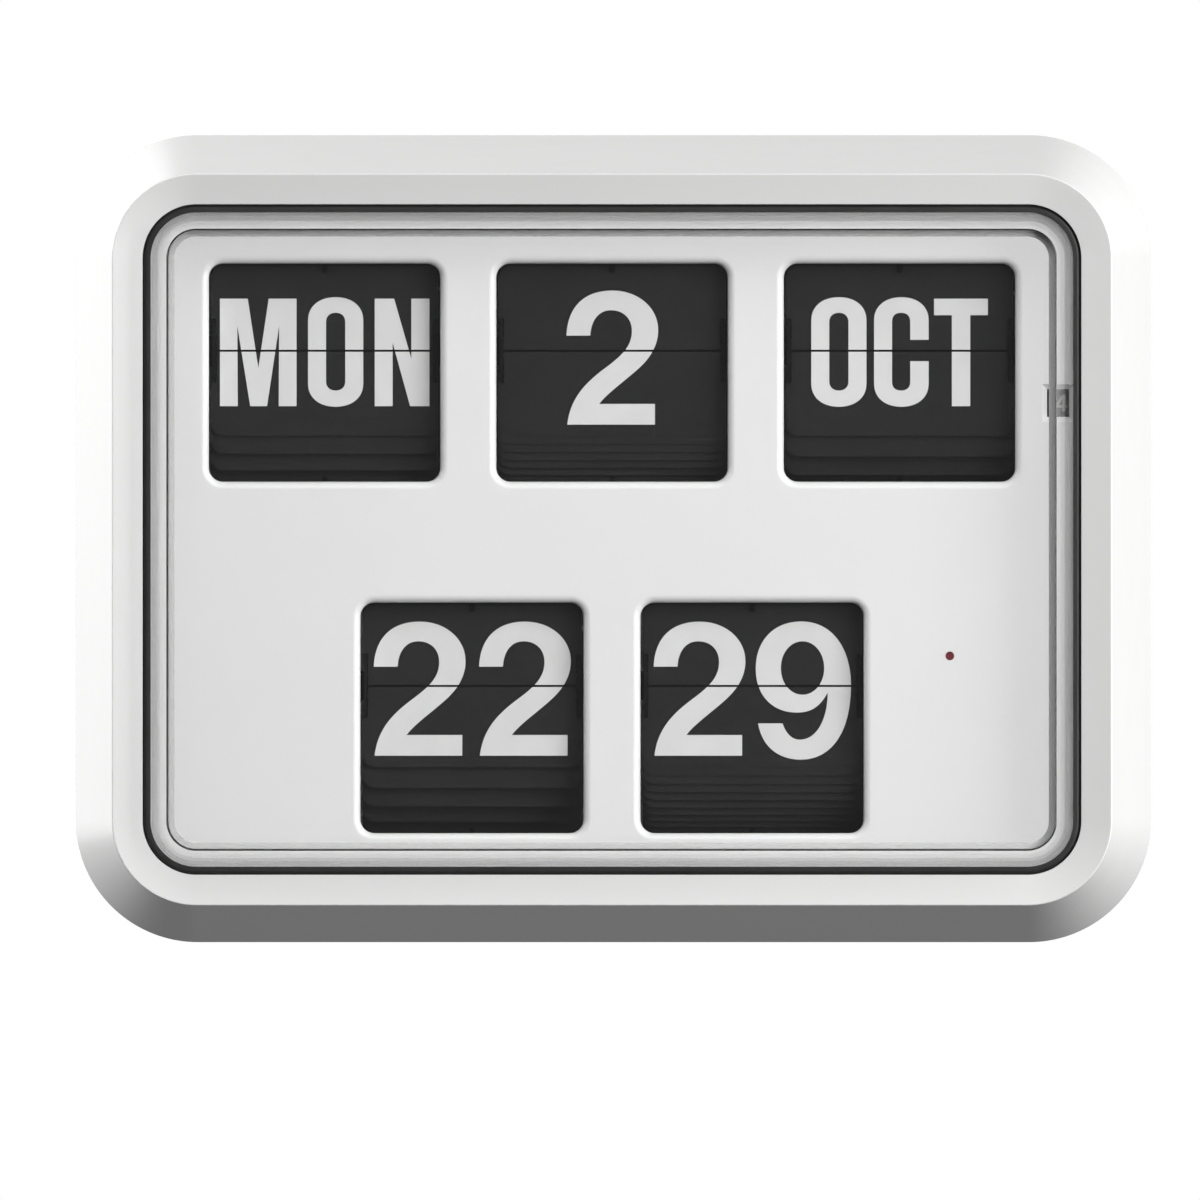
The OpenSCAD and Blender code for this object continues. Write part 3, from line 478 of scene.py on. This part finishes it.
# Dry cell turned about its axis: rolled jacket with a bright band, metal ends and the raised contact
TIP_L, TIP_R, TIP_EDGE, TIP_EDGE_R = 1.5, 4.7, 0.4, 0.5
SKIRT, SKIRT_TOP = 2, 1  # round the contact's foot
ROLL, ROLL_MID, LAP = 0.8, 0.25, 1.8  # the jacket's rolled edge and its lap on an end
DIP, DIP_IN, FLAT_IN = 0.6, 2.6, 3.2  # the ring pressed into an end, in from the jacket
BAND = 0.7, 0.78
CORE_R = 0.01
CELL_STEPS = 48
JACKET, BRIGHT, METAL = range(3)
(x0, y0, z0), (x1, y1, z1) = box_mm("battery_cell")
cell_r, cell_y, cell_z = (y1 - y0) / 2, (y0 + y1) / 2, (z0 + z1) / 2
end_x = x1 - TIP_L
band_start, band_end = (x0 + share * (end_x - x0) for share in BAND)
cell_profile = [  # place along the cell, radius, finish of the stretch that follows
    (x0, CORE_R, METAL),
    (x0, cell_r - FLAT_IN, METAL),
    (x0 + DIP, cell_r - DIP_IN, METAL),
    (x0, cell_r - LAP, JACKET),
    (x0, cell_r - ROLL, JACKET),
    (x0 + ROLL_MID, cell_r - ROLL_MID, JACKET),
    (x0 + ROLL, cell_r, JACKET),
    (band_start, cell_r, BRIGHT),
    (band_end, cell_r, JACKET),
    (end_x - ROLL, cell_r, JACKET),
    (end_x - ROLL_MID, cell_r - ROLL_MID, JACKET),
    (end_x, cell_r - ROLL, JACKET),
    (end_x, cell_r - LAP, METAL),
    (end_x - DIP, cell_r - DIP_IN, METAL),
    (end_x - DIP, TIP_R + SKIRT, METAL),
    (end_x, TIP_R + SKIRT_TOP, METAL),
    (end_x, TIP_R, METAL),
    (x1 - TIP_EDGE, TIP_R, METAL),
    (x1, TIP_R - TIP_EDGE_R, METAL),
    (x1, CORE_R, METAL),
]
bm = bmesh.new()
rings = [[bm.verts.new(spot(x, y, z)) for y, z in circle(cell_y, cell_z, r, CELL_STEPS)]
         for x, r, _ in cell_profile]
for a, b in zip(rings, rings[1:]):
    join(bm, a, b)
for i, face in enumerate(bm.faces):
    face.material_index = cell_profile[i // CELL_STEPS][2]
cell = add_piece("dry_cell", bm, "cell_jacket", "case", replaces=["battery_cell"])
for finish in ("brass", "bright_steel"):
    cell.data.materials.append(finishes[finish])

# Printed arrows beside the setting wheels
SLOT_OFF, ARROW_OFF, MARK_UP = 2.9, 8.5, 0.02
ARROW = [(-1, -4.5), (1, -4.5), (1, 0.5), (2.8, 0.5), (0, 4.5), (-2.8, 0.5), (-1, 0.5)]
bm = bmesh.new()
for display in ("weekday", "date", "month", "minute"):
    x0, y0, _ = DISPLAYS[display]
    x0 += (TIME_WINDOW_W if y0 == TIME_Y else CAL_WINDOW_W) / 2 + SLOT_OFF + ARROW_OFF
    fill(bm, loop_of(bm, [(x0 + x, y0 + y) for x, y in ARROW], -MARK_UP))
add_piece("setting_arrows", bm, "back_white", "case", "mark_grey")

# Printed words and numbers. An outline is a start point, then points for straight runs and (control,
# control, point) for curves, in units of PX mm up and right from the glyph's lower left. A glyph is its
# width, then its outline and any hole in it.
PX = 0.3392
CURVE_STEPS = 12
CLOSE = 1e-6
CAP = 107.5
STEM = 18


def trace(path):
    """Points of an outline, with its curves cut into steps."""
    out = [Vector(path[0])]
    for step in path[1:]:
        if isinstance(step[0], tuple):
            a, (b, c, d) = out[-1].copy(), map(Vector, step)
            for k in range(1, CURVE_STEPS + 1):
                t = k / CURVE_STEPS
                s = 1 - t
                out.append(a * s ** 3 + b * (3 * t * s ** 2) + c * (3 * t * t * s) + d * t ** 3)
        else:
            out.append(Vector(step))
    if (out[-1] - out[0]).length < CLOSE:
        out.pop()
    return out


def oval(x0, x1, y0, y1, ry=None, full=0.6):
    """Upright oval with straight sides where the end height ry is less than half its height."""
    rx, mid = (x1 - x0) / 2, (x0 + x1) / 2
    ry = ry or (y1 - y0) / 2
    kx, ky = rx * (1 - full), ry * (1 - full)
    return [(x0, y1 - ry), ((x0, y1 - ky), (x0 + kx, y1), (mid, y1)),
            ((x1 - kx, y1), (x1, y1 - ky), (x1, y1 - ry)), (x1, y0 + ry),
            ((x1, y0 + ky), (x1 - kx, y0), (mid, y0)), ((x0 + kx, y0), (x0, y0 + ky), (x0, y0 + ry))]


LETTERS = {
    "M": (76.6, [[(0, 0), (0, CAP), (27.8, CAP), (38.4, 38.2), (48.8, CAP), (76.6, CAP), (76.6, 0), (58.8, 0),
                  (59.2, 80.2), (47.1, 0), (30.3, 0), (17.4, 80.2), (17.8, 0)]]),
    "N": (54.7, [[(0, 0), (0, CAP), (19.4, CAP), (36.6, 47.5), (36.6, CAP), (54.7, CAP), (54.7, 0), (35.4, 0),
                  (17.9, 63.5), (17.9, 0)]]),
    "O": (55.2, [oval(0, 55.2, -0.6, 109, 23), oval(STEM, 37.2, 15.6, 93.4, 9)]),
    "C": (54.6, [[(36.2, 45), (36.2, 24.6), ((36.2, 18), (32, 15.6), (27.1, 15.6)),
                  ((22, 15.6), (STEM, 18), (STEM, 24.6)), (STEM, 84.4),
                  ((STEM, 91), (22, 93.4), (27.1, 93.4)), ((32, 93.4), (36.2, 91), (36.2, 84.4)),
                  (36.2, 66.4), (54.6, 66.4), (54.6, 86), ((54.6, 99.8), (43.7, 109), (27.3, 109)),
                  ((10.9, 109), (0, 99.8), (0, 86)), (0, 22.4), ((0, 8.6), (10.9, -0.6), (27.3, -0.6)),
                  ((43.7, -0.6), (54.6, 8.6), (54.6, 22.4)), (54.6, 45)]]),
    "T": (53.8, [[(17.8, 0), (17.8, 91), (0, 91), (0, CAP), (53.8, CAP), (53.8, 91), (36.2, 91), (36.2, 0)]]),
    "U": (54.6, [[(0, CAP), (STEM, CAP), (STEM, 24.6), ((STEM, 18), (22, 15.6), (27.3, 15.6)),
                  ((32.6, 15.6), (36.6, 18), (36.6, 24.6)), (36.6, CAP), (54.6, CAP), (54.6, 22.4),
                  ((54.6, 8.6), (43.7, -0.6), (27.3, -0.6)), ((10.9, -0.6), (0, 8.6), (0, 22.4))]]),
    "E": (45, [[(0, 0), (0, CAP), (45, CAP), (45, 91), (STEM, 91), (STEM, 62.6), (41, 62.6), (41, 46.6),
                (STEM, 46.6), (STEM, 16.5), (45, 16.5), (45, 0)]]),
    "V": (60, [[(20.5, 0), (0, CAP), (18.6, CAP), (30, 36), (41.4, CAP), (60, CAP), (39.5, 0)]]),
}
NUMBERS = {
    "2": (92, [[(0.3, 89), ((1.5, 119), (19, 134.1), (46.3, 134.1)), ((72, 134.1), (92.1, 117), (92.1, 94.6)),
                ((92.1, 80), (85, 68), (74, 57.5)), ((60, 44.5), (41.5, 32), (33.1, 20.7)), (88.8, 20.7),
                (88.8, 0), (1.1, 0), ((4, 24), (16, 39), (36, 54.3)), ((52, 66.3), (65.8, 76), (65.8, 93.6)),
                ((65.8, 106.5), (57, 114.4), (44.8, 114.4)), ((32, 114.4), (24.8, 103.5), (24.2, 89))]]),
    "9": (95.5, [[(2.5, 32.3), ((6.5, 9), (23, -4), (45.4, -4)), ((77, -4), (95.5, 25), (95.5, 70)),
                  ((95.5, 110), (75, 134.3), (45.9, 134.3)), ((18, 134.3), (0.2, 115), (0.2, 87.1)),
                  ((0.2, 60), (17, 43.1), (41.3, 43.1)), ((57, 43.1), (65, 50), (72.2, 63.1)),
                  ((72.2, 36), (61, 16), (44.4, 16)), ((34.5, 16), (29.5, 25), (27, 32.3))],
                 oval(25.3, 68.7, 60.9, 114.4, full=0.56)]),
    "3": (94, [[(2, 95), ((4, 121), (21, 134.3), (46, 134.3)), ((72, 134.3), (89, 120), (89, 100)),
                ((89, 85), (80, 75), (68, 71)), ((84, 66), (94, 54), (94, 38)),
                ((94, 12), (74, -4), (46, -4)),
                ((20, -4), (2, 12), (0.5, 39)), (25, 39), ((26, 25), (33, 16.5), (46, 16.5)),
                ((60, 16.5), (68, 25), (68, 38)), ((68, 53), (58, 60), (36, 60)), (36, 79),
                ((55, 79), (64, 86), (64, 97)), ((64, 108), (57, 114.5), (46, 114.5)),
                ((35, 114.5), (28, 107), (27, 95))]]),
    "0": (93, [oval(0, 93, -4, 134.3, full=0.58), oval(24.5, 68.5, 16, 114.4, full=0.56)]),
    "4": (92, [[(54, 0), (54, 30), (0, 30), (0, 51), (51, 134), (77, 134), (77, 50), (92, 50), (92, 30),
                (77, 30), (77, 0)], [(23, 50), (54, 50), (54, 101)]]),
    "1": (60, [[(34, 0), (34, 95), (4, 95), (4, 112), ((22, 113), (34, 119), (38, 134)), (59, 134),
                (59, 0)]]),
}


def ink(text, glyphs, gaps, drop, size=1.0):
    """Flat mesh of a line of text in mm, centred on x = 0 and with its base line at y = drop."""
    bm = bmesh.new()
    x = -(sum(glyphs[c][0] for c in text) + sum(gaps)) / 2
    for letter, gap in zip(text, [*gaps, 0]):
        width, outlines = glyphs[letter]
        contours = [[p + Vector((x, 0)) for p in trace(path)] for path in outlines]
        verts = [bm.verts.new((p.x * PX * size, p.y * PX * size + drop, 0)) for c in contours for p in c]
        for tri in tessellate_polygon([[Vector((p.x, p.y, 0)) for p in c] for c in contours]):
            bm.faces.new([verts[i] for i in tri])
        x += width + gap
    return bm


def half_of(bm, upper):
    """Keeps the part of the ink on one side of the split, clear of the leaf's edge."""
    side = 1 if upper else -1
    bmesh.ops.bisect_plane(bm, geom=bm.verts[:] + bm.edges[:] + bm.faces[:], clear_inner=True,
                           plane_co=(0, side * SPLIT_GAP, 0), plane_no=(0, side, 0))
    return bm


def lay(bm, place):
    for v in bm.verts:
        v.co = place(v.co.x, v.co.y)
    return bm


INK_UP = 0.012
# Displays whose old number gets a mesh of its own; the share of its height listed for each is not used
KEPT_HEIGHT = {"hour": 0.86, "minute": 0.95}
# The next number's upper half is a little lower than the one in front, so that its head stays hidden too
NEXT_HEIGHT = {"hour": 0.955}
WORDS = {  # now and next, glyphs, spaces between them now and next, base line below the split in mm
    "weekday": ("MON", "TUE", LETTERS, (11.5, 11.5), (8, 10), -18.8),
    "date": ("2", "3", NUMBERS, (), (), -25.05),
    "month": ("OCT", "NOV", LETTERS, (7.6, 5.4), (10, 5), -18.8),
    "hour": ("22", "23", NUMBERS, (13.3,), (12,), -23.65),
    "minute": ("29", "30", NUMBERS, (10.2,), (12,), -23.65),
}
for display, (x0, y0, count) in DISPLAYS.items():
    now, after, glyphs, gaps, gaps_after, drop = WORDS[display]
    turn = 2 * math.pi / count
    leaf_z = AXIS_Z + HINGE_R * math.cos(turn / 2)
    face = leaf_z + LEAF_T / 2
    ink_r = face + INK_UP - AXIS_Z
    tall = NEXT_HEIGHT.get(display, 1)

    def in_front(x, y):
        return spot(x0 + x, y0 + y, face + INK_UP)

    def one_step_up(x, y):
        return spot(x0 + x, y0 + tall * y * math.cos(turn) + ink_r * math.sin(turn),
                    AXIS_Z + ink_r * math.cos(turn) - tall * y * math.sin(turn))

    def on_the_back(x, y):
        return spot(x0 + x, y0 - y, leaf_z - LEAF_T / 2 - INK_UP)

    def put_print(part, text, spaces, upper, body, place):
        half = lay(half_of(ink(text, glyphs, spaces, drop), upper), place)
        return add_piece(f"{display}_{part}", half, "dial_white", f"{display}_{body}", "print_white")

    put_print("print_upper", now, gaps, True, "leaf", in_front)
    old = put_print("print_lower", now, gaps, False, "drum", in_front)
    if display in KEPT_HEIGHT:
        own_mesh(old)
    put_print("next_upper", after, gaps_after, True, "drum", one_step_up)
    put_print("next_lower", after, gaps_after, False, "leaf", on_the_back)

# Year numbers round the leap-year wheel, bent onto its rim
LEAP_DIGIT = 0.127
LEAP_MID = 67
LEAP_INK_UP = 0.03
LEAP_INK = LEAP_R + LEAP_INK_UP
LEAP_CUTS = 3
for quarter, digit in enumerate("4123"):
    def on_the_rim(x, y):
        a = y / LEAP_INK + quarter * math.pi / 2
        return spot(LEAP_X + x, LEAP_Y + LEAP_INK * math.sin(a), LEAP_Z + LEAP_INK * math.cos(a))

    bm = ink(digit, NUMBERS, (), -LEAP_MID * PX * LEAP_DIGIT, LEAP_DIGIT)
    bmesh.ops.subdivide_edges(bm, edges=bm.edges[:], cuts=LEAP_CUTS, use_grid_fill=True)
    add_piece(f"leap_print_{digit}", lay(bm, on_the_rim), "dial_white", "leap_wheel", "leap_print")

# White quarters at the sides of the indicator's disc, so that its turning shows in the hole
QUARTER_R, QUARTER_IN_R, QUARTER_STEPS = 8.6, 2, 16
(x0, y0, _), (x1, y1, disc_front) = box_mm("run_disc")
disc_x, disc_y = (x0 + x1) / 2, (y0 + y1) / 2
bm = bmesh.new()
for side in (0, math.pi):
    angles = [side + math.pi / 2 * (i / QUARTER_STEPS - 0.5) for i in range(QUARTER_STEPS + 1)]
    sector = [(QUARTER_R, a) for a in angles] + [(QUARTER_IN_R, a) for a in reversed(angles)]
    fill(bm, loop_of(bm, [(disc_x + r * math.cos(a), disc_y + r * math.sin(a)) for r, a in sector],
                     disc_front + INK_UP))
add_piece("run_disc_print", bm, "dial_white", "run_disc", "print_white")

# Floor that fades out at its rim
FLOOR_Z, FLOOR_HALF = -0.42, 1.2
FADE = 0.05, 0.7
floor_pale = finish_of("floor_pale", (0.82, 0.82, 0.82), 0.01, (0.6, 0.7), 3, 60, 1e-5)
tree = floor_pale.node_tree
scaled = add_node(tree, "Mapping", {
    "Vector": tree.nodes["Texture Coordinate"].outputs["Object"],
    "Scale": (1 / FLOOR_HALF, 1 / FLOOR_HALF, 0)})
rim = add_node(tree, "TexGradient", {"Vector": scaled.outputs["Vector"]})
rim.gradient_type = "SPHERICAL"
gone = add_node(tree, "BsdfTransparent")
surface_of(tree, mix(tree, spread(tree, rim.outputs["Fac"], 0, 1, *FADE), gone.outputs["BSDF"],
                     tree.nodes["Principled BSDF"].outputs["BSDF"]))
mesh = bpy.data.meshes.new("floor")
mesh.from_pydata([(sx * FLOOR_HALF, sy * FLOOR_HALF, FLOOR_Z) for sx, sy in QUADRANTS], [], [(0, 1, 2, 3)])
mesh.materials.append(floor_pale)
floor = link("floor", mesh)
floor.visible_glossy = False
floor.visible_diffuse = False

# Lamps: place from the middle of the clock in m, power and size
LAMPS = {
    "key": ((1.95, -1.75, 0.42), 68, (1.8, 1.8)),
    "overhead": ((0.0, -1.7, 1.6), 23, (2.0, 1.4)),
    "rim_left": ((-1.3, 0.06, 0.45), 15, (0.5, 0.5)),
    "card_left": ((-0.72, 1.53, 0.3), 1.4, (0.85, 1.0)),
    "rim_right": ((1.3, 0.06, 0.0), 7.5, (0.5, 0.5)),
}
MIDDLE_Z = 60
middle = spot(0, 0, MIDDLE_Z)
lamps = {}
for name, (place, power, size) in LAMPS.items():
    light = bpy.data.lights.new(name, "AREA")
    light.energy = power
    light.shape = "RECTANGLE"
    light.size, light.size_y = size
    lamps[name] = link(name, light)
    lamps[name].location = middle + Vector(place)
    lamps[name].rotation_euler = (-Vector(place)).to_track_quat("-Z", "Y").to_euler()
    lamps[name].visible_camera = False
lamps["overhead"].visible_glossy = False
# The card behind the clock shows only in the gloss of the left wall
lamps["card_left"].visible_diffuse = False
lamps["card_left"].visible_transmission = False

# World: white where it is seen directly or through the cover, and a soft room for light and reflections
# Grey of the room from behind the camera (0) to behind the clock (1), then its dimming below the horizon
ROOM = [(0.03, 0.18), (0.12, 0.25), (0.6, 0.25), (0.875, 0.7)]
LOW_ROOM, HORIZON = 0.33, (-0.25, 0.05)
world = bpy.data.worlds.new("studio")
scene.world = world
world.use_nodes = True
tree = world.node_tree
toward = add_node(tree, "SeparateXYZ", {"Vector": add_node(tree, "TexCoord").outputs["Generated"]}).outputs
room = tree.nodes["Background"]
grey = ramp(tree, spread(tree, toward["Y"], 0, 1, -1, 1), [(position, (g, g, g)) for position, g in ROOM])
tree.links.new(grey, room.inputs["Color"])
tree.links.new(spread(tree, toward["Z"], LOW_ROOM, 1, *HORIZON), room.inputs["Strength"])
white = add_node(tree, "Background", {"Color": (1, 1, 1, 1)})
ray = add_node(tree, "LightPath").outputs
bounces = maths(tree, "ADD", ray["Diffuse Depth"], ray["Glossy Depth"])
direct = maths(tree, "GREATER_THAN", ray["Is Transmission Ray"], bounces)
seen = maths(tree, "MAXIMUM", ray["Is Camera Ray"], direct)
tree.links.new(mix(tree, seen, room.outputs["Background"], white.outputs["Background"]),
               tree.nodes["World Output"].inputs["Surface"])

# The photo is 1200 px square, with the middle of the dial at this pixel
FRAME_PX = 1200
DIAL_PX = (612, 539.5)
YAW, RISE = math.radians(0.35), math.radians(0.2)
CAMERA_AWAY = 2
cam = bpy.data.cameras.new("camera")
cam.type = "ORTHO"
cam.ortho_scale = FRAME_PX * PX * MM
cam.clip_start, cam.clip_end = 0.1, 20
back = Vector((math.sin(YAW) * math.cos(RISE), -math.cos(YAW) * math.cos(RISE), math.sin(RISE)))
facing = (-back).to_track_quat("-Z", "Y")
across = facing @ Vector((1, 0, 0)) * (FRAME_PX / 2 - DIAL_PX[0])
upward = facing @ Vector((0, 1, 0)) * (DIAL_PX[1] - FRAME_PX / 2)
camera = link("camera", cam)
camera.location = spot(0, 0, PLATE_FRONT) + (across + upward) * PX * MM + back * CAMERA_AWAY
camera.rotation_euler = facing.to_euler()
scene.camera = camera
scene.view_settings.view_transform = "Standard"
